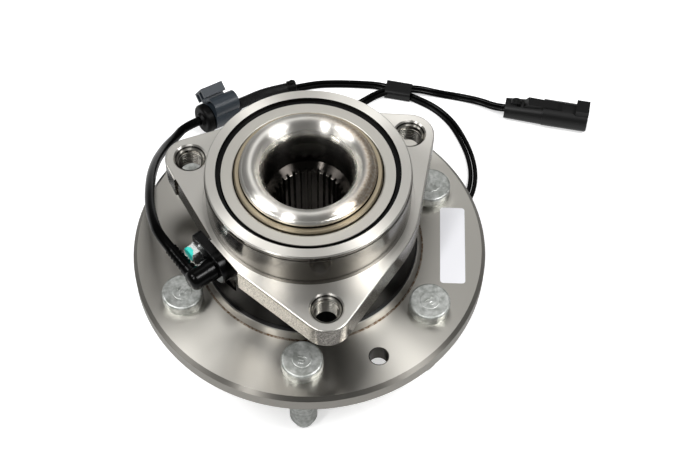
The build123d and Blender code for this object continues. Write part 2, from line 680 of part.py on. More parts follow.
def lead_boot():
    """Ribbed strain relief on the cable outlet, lying along the milled seat."""
    start = OUTLET_DIA / 2
    end = BOOT_END_DIA / 2
    pitch = BOOT_LENGTH / BOOT_RIB_COUNT
    points = [(0, 0), (start, 0)]
    for i in range(BOOT_RIB_COUNT):
        radius = start + (end - start) * (i + 0.5) / BOOT_RIB_COUNT
        points.append((radius, (i + 0.25) * pitch))
        points.append((radius - BOOT_RIB, (i + 0.45) * pitch))
        points.append((radius - BOOT_RIB, (i + 0.8) * pitch))
    points.append((end, BOOT_LENGTH))
    points.append((0, BOOT_LENGTH))
    boot = revolve(Plane.XZ * make_face(Polyline(*points, close=True)), Axis.Z)
    return boot_plane() * boot


def boot_plane():
    """Where the boot starts, with its Z along the way that the lead leaves."""
    start = sensor_plane * Pos(
        SENSOR_SLIP - OUTLET_REACH, -OUTLET_DROP, EAR_FACE - EAR_THICK + OUTLET_DEPTH)
    back = Vector(sensor_plane.x_dir) * -1
    return Plane(origin=start.position, x_dir=(0, 0, 1), z_dir=back)


def fitted_radii(points):
    """The largest arc that each corner's two runs allow, as 0.45 of the shorter run."""
    radii = []
    for before, here, after in zip(points, points[1:], points[2:]):
        run_in = Vector(*here) - Vector(*before)
        run_out = Vector(*after) - Vector(*here)
        turn = radians(run_in.get_angle(run_out))
        radii.append(0.45 * min(run_in.length, run_out.length) / tan(turn / 2))
    return radii


def tube(name, points, diameter):
    """Round solid along straight runs and tangent arcs; prints its radii and its length."""
    radii = fitted_radii(points)
    path = FilletPolyline(*points, radius=radii)
    section = Plane(origin=path @ 0, z_dir=path % 0) * Circle(diameter / 2)
    solid = sweep(section, path=path)
    expected = path.length * pi * diameter ** 2 / 4
    print(name, "length", round(path.length, 1), "smallest radius", round(min(radii), 1),
          "volume over section times length", round(solid.volume / expected, 4))
    return solid


def grommet_plane():
    """Front face of the grommet; Z runs through it to the sleeve and Y points up."""
    turn = radians(GROMMET_TURN)
    dip = radians(GROMMET_DIP)
    along = (cos(turn) * cos(dip), sin(turn) * cos(dip), -sin(dip))
    return Plane(origin=GROMMET_AT, x_dir=(-sin(turn), cos(turn), 0), z_dir=along)


def grommet():
    rim_end = GROMMET_RIM
    neck_end = rim_end + GROMMET_NECK
    tail_end = neck_end + GROMMET_TAIL
    rim = GROMMET_DIA / 2
    neck = GROMMET_NECK_DIA / 2
    profile = outline(
        (0, 0),
        (LEAD_DIA / 2 + 1.2, 0),
        (LEAD_DIA / 2 + 2.0, 1.4),
        (rim - 1.8, 1.4),
        ("arc", (rim - 0.6, 1.9), (rim, 3.2)),
        (rim, rim_end),
        (neck, rim_end),
        (neck, neck_end - 1.0),
        (neck - 1.0, neck_end),
        (GROMMET_TAIL_DIA / 2, neck_end),
        (SLEEVE_DIA / 2 + 0.4, tail_end),
        (0, tail_end),
    )
    return grommet_plane() * revolve(Plane.XZ * make_face(profile), Axis.Z)


def edge_clip():
    """Extruded clip: a C round the grommet's neck, a hollow flank and a hooked T for a panel edge."""
    bore = GROMMET_NECK_DIA / 2 + CLIP_FIT
    wall = Circle(bore + CLIP_WALL)
    flank = Pos(*CLIP_FLANK_AT) * (Circle(CLIP_FLANK_RADIUS) - Circle(CLIP_FLANK_RADIUS - CLIP_WALL))
    half = radians(CLIP_MOUTH / 2)
    far = 3 * bore
    mouth = make_face(Polyline((0, 0), (far * sin(half), -far * cos(half)), (0, -far / cos(half)),
                               (-far * sin(half), -far * cos(half)), close=True))
    saddle = wall + (flank - wall) - Circle(bore) - Rot(0, 0, CLIP_MOUTH_TURN) * mouth
    under = CLIP_BAR_HEIGHT - CLIP_WALL
    stalk = Pos(0, (bore + CLIP_WALL / 2 + under) / 2) * Rectangle(CLIP_WALL * 1.3, under - bore - CLIP_WALL / 2)
    bar = Pos(0, CLIP_BAR_HEIGHT - CLIP_WALL / 2) * Rectangle(CLIP_BAR_WIDTH, CLIP_WALL)
    hook_x = (CLIP_BAR_WIDTH - CLIP_WALL) / 2
    hook_y = CLIP_BAR_HEIGHT - CLIP_HOOK / 2
    hooks = [Pos(x, hook_y) * Rectangle(CLIP_WALL, CLIP_HOOK) for x in (-hook_x, hook_x)]
    head = Rot(0, 0, -CLIP_LEAN) * (stalk + bar + hooks)
    clip = extrude(saddle, CLIP_LENGTH) + extrude(head, CLIP_BAR_LENGTH)
    return grommet_plane() * Pos(0, 0, CLIP_START) * clip


def lead_points():
    boot = boot_plane()
    start = boot.origin + boot.z_dir * BOOT_LENGTH
    second = start + boot.z_dir * 2 * LEAD_DIA
    last = grommet_plane().origin - grommet_plane().z_dir * 2 * LEAD_DIA
    return [tuple(start), tuple(second)] + LEAD_ROUTE + [tuple(last), GROMMET_AT]


def sleeve_points():
    plane = grommet_plane()
    lie = FLOOR_Z + SLEEVE_DIA / 2
    start = plane.origin + plane.z_dir * (GROMMET_RIM + GROMMET_NECK + GROMMET_TAIL)
    second = start + plane.z_dir * 1.1 * SLEEVE_DIA
    route = [(x, y, lie) for x, y in SLEEVE_ROUTE + [BREAKOUT_AT]]
    return [tuple(start), tuple(second)] + route


def breakout_plane():
    """End of the sleeve, Z along it and Y up."""
    before = sleeve_points()[-2]
    turn = atan2(BREAKOUT_AT[1] - before[1], BREAKOUT_AT[0] - before[0])
    return Plane(origin=(BREAKOUT_AT[0], BREAKOUT_AT[1], FLOOR_Z + BREAKOUT_DIA / 2),
                 x_dir=(-sin(turn), cos(turn), 0), z_dir=(cos(turn), sin(turn), 0))


def wire_breakout():
    """Shrunk end of the sleeve where the two wires come out, with a small nub on top."""
    body = disc(BREAKOUT_DIA / 2, 0, BREAKOUT_LENGTH)
    body = fillet(body.edges().group_by(Axis.Z)[-1], 0.9)
    knob = disc(BREAKOUT_KNOB / 2, BREAKOUT_DIA / 4, BREAKOUT_DIA / 2 + BREAKOUT_KNOB / 2)
    knob = Pos(0, 0, BREAKOUT_LENGTH / 2) * Rot(-90, 0, 0) * fillet(knob.edges().group_by(Axis.Z)[-1], 0.9)
    return breakout_plane() * (body + knob)


def pair_points():
    """Middle of the pair from the end of the sleeve to the connector."""
    plane = breakout_plane()
    lie = FLOOR_Z + WIRE_DIA / 2
    ways = [plane.origin + plane.z_dir * (BREAKOUT_LENGTH + step) for step in (0, 4 * WIRE_DIA)]
    start = [(way.X, way.Y, lie) for way in ways]
    middle = [(x, y, lie + rise) for x, y, rise in PAIR_ROUTE]
    turn = radians(PLUG_TURN)
    back = 2.2 * WIRE_DIA
    entry = FLOOR_Z + WIRE_ENTRY_HEIGHT
    late = (PLUG_AT[0] - back * cos(turn), PLUG_AT[1] - back * sin(turn), entry - 0.6)
    return start + middle + [late, (PLUG_AT[0], PLUG_AT[1], entry)]


def wire_points(side):
    """One wire of the pair: the middle line moved half a pitch to its side."""
    middle = pair_points()
    points = []
    for i, here in enumerate(middle):
        before = middle[max(i - 1, 0)]
        after = middle[min(i + 1, len(middle) - 1)]
        way_in = unit(before, here) or unit(here, after)
        way_out = unit(here, after) or way_in
        across = (-way_in[1] - way_out[1], way_in[0] + way_out[0])
        shift = side * WIRE_PITCH / hypot(*across) ** 2
        points.append((here[0] + across[0] * shift, here[1] + across[1] * shift, here[2]))
    return points


def unit(start, end):
    """Direction in plan from one point to another, or None where they are the same."""
    run = hypot(end[0] - start[0], end[1] - start[1])
    return ((end[0] - start[0]) / run, (end[1] - start[1]) / run) if run else None


def loop_tape():
    """Tape wound round the place where the pair crosses itself."""
    height = CROSSING_HIGH + WIRE_DIA + CROSSING_LOW
    outside = RectangleRounded(TAPE_WIDTH, height, TAPE_CORNER)
    inside = RectangleRounded(TAPE_WIDTH - 2 * TAPE_WALL, height - 2 * TAPE_WALL, TAPE_CORNER - TAPE_WALL)
    turn = radians(TAPE_TURN)
    plane = Plane(origin=(CROSSING_AT[0], CROSSING_AT[1], FLOOR_Z + height / 2),
                  x_dir=(-sin(turn), cos(turn), 0), z_dir=(cos(turn), sin(turn), 0))
    return plane * Pos(0, 0, -TAPE_LENGTH / 2) * extrude(outside - inside, TAPE_LENGTH)


def plug_plane():
    """Wire end of the connector at the surface, Z along it to its mouth and Y up."""
    turn = radians(PLUG_TURN)
    return Plane(origin=(PLUG_AT[0], PLUG_AT[1], FLOOR_Z),
                 x_dir=(-sin(turn), cos(turn), 0), z_dir=(cos(turn), sin(turn), 0))


def plug_section(along, width, height):
    """Rounded section standing on the surface, at a distance from the wire end."""
    return Pos(0, height / 2, along) * RectangleRounded(width, height, min(width, height) * 0.44)


def connector_housing():
    """Two-way sealed connector: tapered back, oval socket, latch ramp, mouth guard and rear catch."""
    shoulder = PLUG_SHOULDER
    back = loft([plug_section(0, PLUG_BACK_WIDTH, PLUG_BACK_HEIGHT),
                 plug_section(shoulder, PLUG_MOUTH_WIDTH - 1.2, PLUG_MOUTH_HEIGHT - 1.2)])
    barrel = extrude(plug_section(shoulder, PLUG_MOUTH_WIDTH, PLUG_MOUTH_HEIGHT), PLUG_LENGTH - shoulder)
    barrel = chamfer(barrel.faces().sort_by(Axis.Z)[-1].edges(), PLUG_END_ROUND)
    ramp = ramp_profile()
    top = PLUG_MOUTH_HEIGHT
    guard = Pos(0, top + GUARD_HEIGHT / 2 - 1, PLUG_LENGTH - GUARD_LENGTH / 2)
    guard *= Box(GUARD_WIDTH, GUARD_HEIGHT + 2, GUARD_LENGTH)
    catch_y = PLUG_BACK_HEIGHT
    catch = Pos(0, catch_y, CATCH_START + CATCH_DIA / 2) * Rot(0, 90, 0) * Cylinder(CATCH_DIA / 2, CATCH_WIDTH)
    eye = Pos(0, catch_y + CATCH_DIA * 0.1, CATCH_START + CATCH_DIA * 0.75) * Rot(0, 90, 0)
    eye *= Cylinder(CATCH_HOLE_DIA / 2, CATCH_WIDTH + 2)
    body = back + barrel + ramp + guard + catch - eye
    socket = plug_section(PLUG_LENGTH - PLUG_SOCKET_DEPTH, PLUG_MOUTH_WIDTH - 2 * PLUG_WALL,
                          PLUG_MOUTH_HEIGHT - 2 * PLUG_WALL)
    body -= Pos(0, PLUG_WALL, 0) * extrude(socket, PLUG_SOCKET_DEPTH + 1)
    under_guard = Pos(0, top + GUARD_HEIGHT / 2 - 0.6, PLUG_LENGTH - GUARD_LENGTH / 2)
    body -= under_guard * Box(GUARD_WIDTH - 2 * PLUG_WALL, GUARD_HEIGHT - 0.8, GUARD_LENGTH + 2)
    for side in (-1, 1):
        slot = Pos(side * PIN_PITCH / 2, PLUG_MOUTH_HEIGHT / 2, PLUG_LENGTH - PLUG_SOCKET_DEPTH - PIN_ROOT / 2)
        body -= slot * Box(PIN_WIDTH, PIN_THICK, PIN_ROOT)
    return plug_plane() * body


def ramp_profile():
    """Raised rib along the top of the back that ends in the latch ramp."""
    end = RAMP_START + RAMP_LENGTH
    base = PLUG_BACK_HEIGHT - 2
    top = PLUG_MOUTH_HEIGHT + RAMP_HEIGHT - 1.6
    side = make_face(Polyline((RAMP_START - 4.5, base), (RAMP_START, top), (end, top - 0.6),
                              (end + 4.0, PLUG_MOUTH_HEIGHT - 0.2), (end + 4.0, base), close=True))
    return Pos(RAMP_WIDTH / 2, 0, 0) * Rot(0, -90, 0) * extrude(side, RAMP_WIDTH)


def connector_pins():
    """Two blade terminals standing in the socket."""
    blades = []
    base = PLUG_LENGTH - PLUG_SOCKET_DEPTH
    for side in (-1, 1):
        blade = Box(PIN_WIDTH - 0.04, PIN_THICK - 0.04, PIN_ROOT + PIN_REACH)
        blade = chamfer(blade.faces().sort_by(Axis.Z)[-1].edges(), 0.25)
        middle = base + (PIN_REACH - PIN_ROOT) / 2
        blades.append(Pos(side * PIN_PITCH / 2, PLUG_MOUTH_HEIGHT / 2, middle) * blade)
    return plug_plane() * Compound(blades)


PIECES = {
    "hub_spindle": hub_spindle,
    "wheel_studs": wheel_studs,
    "inner_ring": inner_ring,
    "inboard_slinger": inboard_slinger,
    "tone_ring": tone_ring,
    "outboard_balls": lambda: balls(OUTBOARD_ROW_Z),
    "inboard_balls": lambda: balls(INBOARD_ROW_Z),
    "outboard_cage": lambda: cage(OUTBOARD_ROW_Z, -1),
    "inboard_cage": lambda: cage(INBOARD_ROW_Z, -1),
    "outer_ring": outer_ring,
    "inboard_seal": inboard_seal,
    "outboard_seal": outboard_seal,
    "outboard_shield": outboard_shield,
    "sensor_body": sensor_body,
    "sensor_o_ring": sensor_o_ring,
    "sensor_bush": sensor_bush,
    "sensor_screw": sensor_screw,
    "lead_boot": lead_boot,
    "sensor_lead": lambda: tube("lead", lead_points(), LEAD_DIA),
    "grommet": grommet,
    "edge_clip": edge_clip,
    "lead_sleeve": lambda: tube("sleeve", sleeve_points(), SLEEVE_DIA),
    "wire_breakout": wire_breakout,
    "wire_a": lambda: tube("wire a", wire_points(1), WIRE_DIA),
    "wire_b": lambda: tube("wire b", wire_points(-1), WIRE_DIA),
    "loop_tape": loop_tape,
    "connector_housing": connector_housing,
    "connector_pins": connector_pins,
}


if __name__ == "__main__":
    os.makedirs("parts", exist_ok=True)
    for node, make in PIECES.items():
        export_step(make(), "parts/" + node + ".step")
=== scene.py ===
import bpy
from math import cos, hypot, radians, sin
from mathutils import Matrix, Vector


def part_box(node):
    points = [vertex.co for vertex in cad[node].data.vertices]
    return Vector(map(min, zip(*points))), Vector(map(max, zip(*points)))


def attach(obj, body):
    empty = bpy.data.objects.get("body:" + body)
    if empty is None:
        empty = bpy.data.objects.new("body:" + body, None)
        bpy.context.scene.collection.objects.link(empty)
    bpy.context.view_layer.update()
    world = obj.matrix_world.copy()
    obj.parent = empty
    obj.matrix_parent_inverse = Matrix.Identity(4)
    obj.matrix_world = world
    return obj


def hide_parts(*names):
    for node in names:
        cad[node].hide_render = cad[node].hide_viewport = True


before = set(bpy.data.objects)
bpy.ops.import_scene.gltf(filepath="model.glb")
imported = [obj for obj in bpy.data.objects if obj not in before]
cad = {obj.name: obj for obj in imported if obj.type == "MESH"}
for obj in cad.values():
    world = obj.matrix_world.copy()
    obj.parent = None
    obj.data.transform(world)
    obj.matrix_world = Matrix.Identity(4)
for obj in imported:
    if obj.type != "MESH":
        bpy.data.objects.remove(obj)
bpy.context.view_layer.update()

# ---------------------------------------------------------------------------
# Hub spindle: a forging of bearing steel with the wheel flange, the pilot and
# the splined bore, turned all over and left bare. Its inboard end is rolled
# over the inner ring, which leaves a bright lip with soft brown heat stains.
groove_spacing = 0.0007
groove_depth = 0.000010
stain_grain = 0.0012
stain_x = (0.000, 0.022)
stain_height = (0.0715, 0.0735)
stain_radius = (0.0262, 0.0285)
rust_radius = 0.0567
rust_width = 0.0010
rust_height = (0.0110, 0.0104)
bore_radius = (0.0235, 0.0215)
bore_depth_height = (0.0700, 0.0600)
lip_height = (0.0700, 0.0720)
spline_lead_in = 0.0510
spline_lead_width = 0.0038
rim_radius = (0.0864, 0.0868)
boss_top = 0.0138
shield_shade_radius = (0.0544, 0.0540)
service_hole = (0.0245, -0.0689, 0.0)
service_edge = 0.00475


def linear(text):
    """Linear colour, with alpha, from an sRGB hex value."""
    parts = [int(text[i:i + 2], 16) / 255 for i in (1, 3, 5)]
    return [p / 12.92 if p <= 0.04045 else ((p + 0.055) / 1.055) ** 2.4 for p in parts] + [1.0]


def add(finish, kind, settings, inputs, output=0):
    """Adds a node to a finish with its settings and inputs, and gives one of its outputs."""
    node = finish.node_tree.nodes.new("ShaderNode" + kind)
    for name, value in settings.items():
        setattr(node, name, value)
    for name, value in inputs.items():
        if isinstance(value, bpy.types.NodeSocket):
            finish.node_tree.links.new(value, node.inputs[name])
        else:
            node.inputs[name].default_value = value
    return node.outputs[output]


def plain(name, tint, metallic, roughness):
    """A smooth finish of one colour; gives its shader too."""
    finish = bpy.data.materials.new(name)
    finish.use_nodes = True
    shader = finish.node_tree.nodes["Principled BSDF"]
    shader.inputs["Base Color"].default_value = linear(tint)
    shader.inputs["Metallic"].default_value = metallic
    shader.inputs["Roughness"].default_value = roughness
    return finish, shader


def turned(name, tint, roughness, stretch, pitch):
    """A metal turned on a lathe, whose grooves round the spin axis stretch the highlights across them.

    Gives the finish, its shader, and the sockets of place, X, Z, radius and the upward share of the normal.
    """
    finish, shader = plain(name, tint, 1.0, roughness)
    place = add(finish, "TexCoord", {}, {}, "Object")
    x = add(finish, "SeparateXYZ", {}, {0: place}, "X")
    y = add(finish, "SeparateXYZ", {}, {0: place}, "Y")
    z = add(finish, "SeparateXYZ", {}, {0: place}, "Z")
    back = add(finish, "Math", {"operation": "MULTIPLY"}, {0: y, 1: -1.0})
    along = add(finish, "CombineXYZ", {}, {"X": back, "Y": x})
    kept = {"vector_type": "VECTOR", "convert_from": "OBJECT", "convert_to": "WORLD"}
    grooves = add(finish, "VectorTransform", kept, {0: along})
    finish.node_tree.links.new(grooves, shader.inputs["Tangent"])
    shader.inputs["Anisotropic"].default_value = stretch
    shader.inputs["Anisotropic Rotation"].default_value = 0.25
    flat = add(finish, "CombineXYZ", {}, {"X": x, "Y": y})
    radius = add(finish, "VectorMath", {"operation": "LENGTH"}, {0: flat}, "Value")
    run = add(finish, "Math", {"operation": "ADD"}, {0: z, 1: radius})
    lines = add(finish, "TexNoise", {"noise_dimensions": "1D"}, {"W": run, "Scale": 1 / pitch, "Detail": 2.0})
    cut = add(finish, "Bump", {}, {"Distance": groove_depth, "Height": lines})
    finish.node_tree.links.new(cut, shader.inputs["Normal"])
    normal = add(finish, "NewGeometry", {}, {}, "Normal")
    upward = add(finish, "SeparateXYZ", {}, {0: normal}, "Z")
    return finish, shader, place, x, z, radius, upward


# Turned bearing steel: rings round the axis pull each light out into a fan
# from the centre. Real grooves are too fine to show and are drawn coarser.
hub_steel, shader, place, x, z, radius, upward = turned("turned bearing steel", "#b5b2ab", 0.30, 0.96,
                                                        groove_spacing)
specks = add(hub_steel, "TexNoise", {}, {"Vector": place, "Scale": 1 / stain_grain, "Detail": 6.0})
specks = add(hub_steel, "MapRange", {}, {"Value": specks, "From Min": 0.35, "From Max": 0.65, "To Min": 0.45})

# Heat: brown specks on the back of the lip, on one side of it.
right_side = add(hub_steel, "MapRange", {}, {"Value": x, "From Min": stain_x[0], "From Max": stain_x[1]})
on_lip = add(hub_steel, "MapRange", {}, {"Value": z, "From Min": stain_height[0], "From Max": stain_height[1]})
lip_back = add(hub_steel, "MapRange", {}, {"Value": radius, "From Min": stain_radius[0],
                                           "From Max": stain_radius[1]})
heat = add(hub_steel, "Math", {"operation": "MULTIPLY"}, {0: on_lip, 1: lip_back})
heat = add(hub_steel, "Math", {"operation": "MULTIPLY"}, {0: heat, 1: right_side})
heat = add(hub_steel, "Math", {"operation": "MULTIPLY"}, {0: heat, 1: specks})
heat = add(hub_steel, "Math", {"operation": "MULTIPLY"}, {0: heat, 1: 0.8})

# Rust: a thin broken line in the corner at the foot of the flange's boss.
boss_foot = add(hub_steel, "Math", {"operation": "COMPARE"}, {0: radius, 1: rust_radius, 2: rust_width / 2})
near_flange = add(hub_steel, "MapRange", {}, {"Value": z, "From Min": rust_height[0], "From Max": rust_height[1]})
rust = add(hub_steel, "Math", {"operation": "MULTIPLY"}, {0: boss_foot, 1: near_flange})
rust = add(hub_steel, "Math", {"operation": "MULTIPLY"}, {0: rust, 1: specks})

# Painted shade: the bore is painted darker than the rolled lip, and darkest where the teeth start.
painted_bore_shade = add(hub_steel, "MapRange", {}, {"Value": z, "From Min": bore_depth_height[0], "From Max": bore_depth_height[1]})
in_bore = add(hub_steel, "MapRange", {}, {"Value": radius, "From Min": bore_radius[0], "From Max": bore_radius[1]})
painted_bore_shade = add(hub_steel, "Math", {"operation": "MULTIPLY"}, {0: painted_bore_shade, 1: in_bore})
rolled = add(hub_steel, "MapRange", {}, {"Value": z, "From Min": lip_height[0], "From Max": lip_height[1]})
painted_teeth_shade = add(hub_steel, "Math", {"operation": "COMPARE"}, {0: z, 1: spline_lead_in, 2: spline_lead_width / 2})
painted_teeth_shade = add(hub_steel, "Math", {"operation": "MULTIPLY"}, {0: painted_teeth_shade, 1: in_bore})

# Edges: a bevel at the rim painted darker as shade, black painted shade on the
# boss under the shield with its metal sheen taken off, and a dark ring of
# painted shade round the edge of the service hole.
rim_bevel_shade = add(hub_steel, "MapRange", {}, {"Value": radius, "From Min": rim_radius[0], "From Max": rim_radius[1]})
bevelled = add(hub_steel, "MapRange", {}, {"Value": upward, "From Min": 0.97, "From Max": 0.90})
rim_bevel_shade = add(hub_steel, "Math", {"operation": "MULTIPLY"}, {0: rim_bevel_shade, 1: bevelled})
on_boss = add(hub_steel, "Math", {"operation": "COMPARE"}, {0: z, 1: boss_top, 2: 0.0003})
under_shield = add(hub_steel, "MapRange", {}, {"Value": radius, "From Min": shield_shade_radius[0],
                                               "From Max": shield_shade_radius[1]})
painted_shield_shade = add(hub_steel, "Math", {"operation": "MULTIPLY"}, {0: on_boss, 1: under_shield})
flat = add(hub_steel, "CombineXYZ", {}, {"X": x, "Y": add(hub_steel, "SeparateXYZ", {}, {0: place}, "Y")})
far = add(hub_steel, "VectorMath", {"operation": "DISTANCE"}, {0: flat, 1: service_hole}, "Value")
hole_edge_shade = add(hub_steel, "Math", {"operation": "COMPARE"}, {0: far, 1: service_edge, 2: 0.00020})

tint = add(hub_steel, "Mix", {"data_type": "RGBA"}, {0: rolled, 6: linear("#b9b6af"), 7: linear("#edeae3")}, 2)
tint = add(hub_steel, "Mix", {"data_type": "RGBA"}, {0: heat, 6: tint, 7: linear("#a58a66")}, 2)
tint = add(hub_steel, "Mix", {"data_type": "RGBA"}, {0: rust, 6: tint, 7: linear("#5b432b")}, 2)
tint = add(hub_steel, "Mix", {"data_type": "RGBA"}, {0: painted_bore_shade, 6: tint, 7: linear("#5d5a56")}, 2)
tint = add(hub_steel, "Mix", {"data_type": "RGBA"}, {0: painted_teeth_shade, 6: tint, 7: linear("#22201e")}, 2)
tint = add(hub_steel, "Mix", {"data_type": "RGBA"}, {0: rim_bevel_shade, 6: tint, 7: linear("#8a8781")}, 2)
tint = add(hub_steel, "Mix", {"data_type": "RGBA"}, {0: painted_shield_shade, 6: tint, 7: linear("#0a0908")}, 2)
tint = add(hub_steel, "Mix", {"data_type": "RGBA"}, {0: hole_edge_shade, 6: tint, 7: linear("#35322e")}, 2)
hub_steel.node_tree.links.new(tint, shader.inputs["Base Color"])
bare = add(hub_steel, "Math", {"operation": "SUBTRACT"}, {0: 1.0, 1: painted_shield_shade})
hub_steel.node_tree.links.new(bare, shader.inputs["Metallic"])
polish = add(hub_steel, "MapRange", {}, {"Value": z, "From Min": bore_depth_height[1], "From Max": bore_depth_height[0],
                                         "To Min": 0.30, "To Max": 0.29})
polish = add(hub_steel, "Math", {"operation": "MULTIPLY_ADD"}, {0: in_bore, 1: -0.11, 2: polish})
hub_steel.node_tree.links.new(polish, shader.inputs["Roughness"])


def dress(node, finish):
    """Gives a CAD node its finish."""
    cad[node].data.materials.clear()
    cad[node].data.materials.append(finish)


dress("hub_spindle", hub_steel)

# ---------------------------------------------------------------------------
# Wheel studs: six M14 studs of forged steel, pressed through the flange and
# coated with matt zinc flake. The threads are drawn as rings of the real pitch.
mottle_grain = 0.0025
grit_depth = 0.00004
stud_thread_pitch = 0.0015
stud_thread_top = -0.0110
thread_run_out = 0.001

# Zinc flake: a dull pale grey, cloudy and a little gritty, with no sharp glint.
zinc_flake, shader = plain("zinc flake coating", "#a7aaa6", 0.75, 0.42)
place = add(zinc_flake, "TexCoord", {}, {}, "Object")
mottle = add(zinc_flake, "TexNoise", {}, {"Vector": place, "Scale": 1 / mottle_grain, "Detail": 8.0})
mottle = add(zinc_flake, "MapRange", {}, {"Value": mottle, "From Min": 0.35, "From Max": 0.65})
tint = add(zinc_flake, "Mix", {"data_type": "RGBA"}, {0: mottle, 6: linear("#9a9d98"), 7: linear("#cbcdca")}, 2)
zinc_flake.node_tree.links.new(tint, shader.inputs["Base Color"])
height = add(zinc_flake, "SeparateXYZ", {}, {0: place}, "Z")
ridge = add(zinc_flake, "Math", {"operation": "PINGPONG"}, {0: height, 1: stud_thread_pitch / 2})
threaded = add(zinc_flake, "MapRange", {}, {"Value": height, "From Min": stud_thread_top,
                                            "From Max": stud_thread_top - thread_run_out})
ridge = add(zinc_flake, "Math", {"operation": "MULTIPLY"}, {0: ridge, 1: threaded})
grit = add(zinc_flake, "Math", {"operation": "MULTIPLY"}, {0: mottle, 1: grit_depth})
relief = add(zinc_flake, "Math", {"operation": "ADD"}, {0: ridge, 1: grit})
bumps = add(zinc_flake, "Bump", {}, {"Distance": 1.0, "Height": relief})
zinc_flake.node_tree.links.new(bumps, shader.inputs["Normal"])
dress("wheel_studs", zinc_flake)

# ---------------------------------------------------------------------------
# Stud head marks: each forged head carries a low round boss with a rim and a
# few plain grade dashes.
stud_circle = 0.1397
stud_count = 6
first_stud = radians(-100.4)
head_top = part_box("wheel_studs")[1][2]
mark_radius = 0.0048
mark_height = 0.0006
dash_size = (0.0024, 0.0007, 0.0006)
dash_rows = ((-0.0013, 0.0010), (0.0013, 0.0010), (0.0, -0.0008), (0.0, -0.0024))
first_mark_turn = radians(-20)
next_mark_turn = radians(47)


def placed(made, name, finish, body):
    """Puts a piece's place in its mesh and gives it its name, finish and body."""
    bpy.ops.object.select_all(action="DESELECT")
    made.select_set(True)
    bpy.context.view_layer.objects.active = made
    bpy.ops.object.transform_apply(location=True, rotation=True, scale=True)
    made.name = name
    made.data.materials.clear()
    made.data.materials.append(finish)
    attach(made, body)


def copied(first):
    """A copy of a piece with a mesh of its own."""
    bpy.ops.object.select_all(action="DESELECT")
    first.select_set(True)
    bpy.context.view_layer.objects.active = first
    bpy.ops.object.duplicate(linked=False)
    return bpy.context.object


bpy.ops.object.select_all(action="DESELECT")
bpy.ops.mesh.primitive_cylinder_add(vertices=48, radius=mark_radius, depth=mark_height, location=(0, 0, 0))
head_mark = bpy.context.object
bpy.ops.object.mode_set(mode="EDIT")
bpy.ops.mesh.select_all(action="SELECT")
bpy.ops.mesh.bevel(offset=mark_height * 0.4, segments=2)
bpy.ops.object.mode_set(mode="OBJECT")
for face in head_mark.data.polygons:
    face.select = face.normal.z > 0.9 and face.area > mark_radius ** 2
bpy.ops.object.mode_set(mode="EDIT")
bpy.ops.mesh.select_mode(type="FACE")
bpy.ops.mesh.inset(thickness=mark_radius * 0.12)
bpy.ops.transform.translate(value=(0, 0, -mark_height * 0.4))
bpy.ops.object.mode_set(mode="OBJECT")
dashes = []
for across, up in dash_rows:
    bpy.ops.object.select_all(action="DESELECT")
    bpy.ops.mesh.primitive_cube_add(size=1.0, location=(across, up, 0.0))
    dash = bpy.context.object
    dash.scale = dash_size
    bpy.ops.object.transform_apply(location=False, rotation=False, scale=True)
    bpy.ops.object.mode_set(mode="EDIT")
    bpy.ops.mesh.select_all(action="SELECT")
    bpy.ops.mesh.bevel(offset=dash_size[2] * 0.3, segments=2)
    bpy.ops.object.mode_set(mode="OBJECT")
    dashes.append(dash)
bpy.ops.object.select_all(action="DESELECT")
for piece in dashes + [head_mark]:
    piece.select_set(True)
bpy.context.view_layer.objects.active = head_mark
bpy.ops.object.join()
bpy.ops.object.transform_apply(location=True, rotation=True, scale=True)
marks = [head_mark] + [copied(head_mark) for i in range(stud_count - 1)]
for i, mark in enumerate(marks):
    heading = first_stud + i * radians(360 / stud_count)
    mark.location = (stud_circle / 2 * cos(heading), stud_circle / 2 * sin(heading), head_top + mark_height * 0.2)
    mark.rotation_euler = (0, 0, first_mark_turn + next_mark_turn * i)
    placed(mark, "stud_mark_%d" % (i + 1), zinc_flake, "hub")

# ---------------------------------------------------------------------------
# Outboard row: polished bearing balls in a moulded nylon cage, closed by a
# rubber lip seal that is pressed into the outer ring.


def grained(name, tint, metallic, roughness, grain, depth):
    """A plain finish with a fine grain, whose size and depth are in metres; gives its shader too."""
    finish, shader = plain(name, tint, metallic, roughness)
    place = add(finish, "TexCoord", {}, {}, "Object")
    fine = add(finish, "TexNoise", {}, {"Vector": place, "Scale": 1 / grain, "Detail": 3.0})
    bumps = add(finish, "Bump", {}, {"Distance": depth, "Height": fine})
    finish.node_tree.links.new(bumps, shader.inputs["Normal"])
    return finish, shader


# Ball steel is lapped to a mirror, the cage is matt cream nylon with a grain
# of glass fibre, and the seal's rubber is a dull black that hardly shines.
ball_steel = grained("polished ball steel", "#d9d9db", 1.0, 0.08, 0.002, 0.0000005)[0]
cage_nylon = grained("glass-filled nylon", "#c9bb92", 0.0, 0.5, 0.0008, 0.00003)[0]
seal_rubber, shader = grained("nitrile seal rubber", "#060606", 0.0, 0.5, 0.0008, 0.00002)
shader.inputs["Specular IOR Level"].default_value = 0.15
dress("outboard_balls", ball_steel)
dress("outboard_cage", cage_nylon)
dress("outboard_seal", seal_rubber)

# ---------------------------------------------------------------------------
# Outer ring: a forging of bearing steel. Its end face and the faces of its
# triangular flange are ground bright and painted lighter still as lit from
# above, the pilot's wall is turned and painted darker as shade, and the edge
# of the flange keeps a grey milled skin.
pilot_radius = (0.0535, 0.0540)
milling_grain = 0.0007
knuckle_circle = 0.1260
knuckle_holes = 3
first_hole = radians(-90)
hole_radius = (0.0077, 0.0075)
tapped_pitch = 0.0015
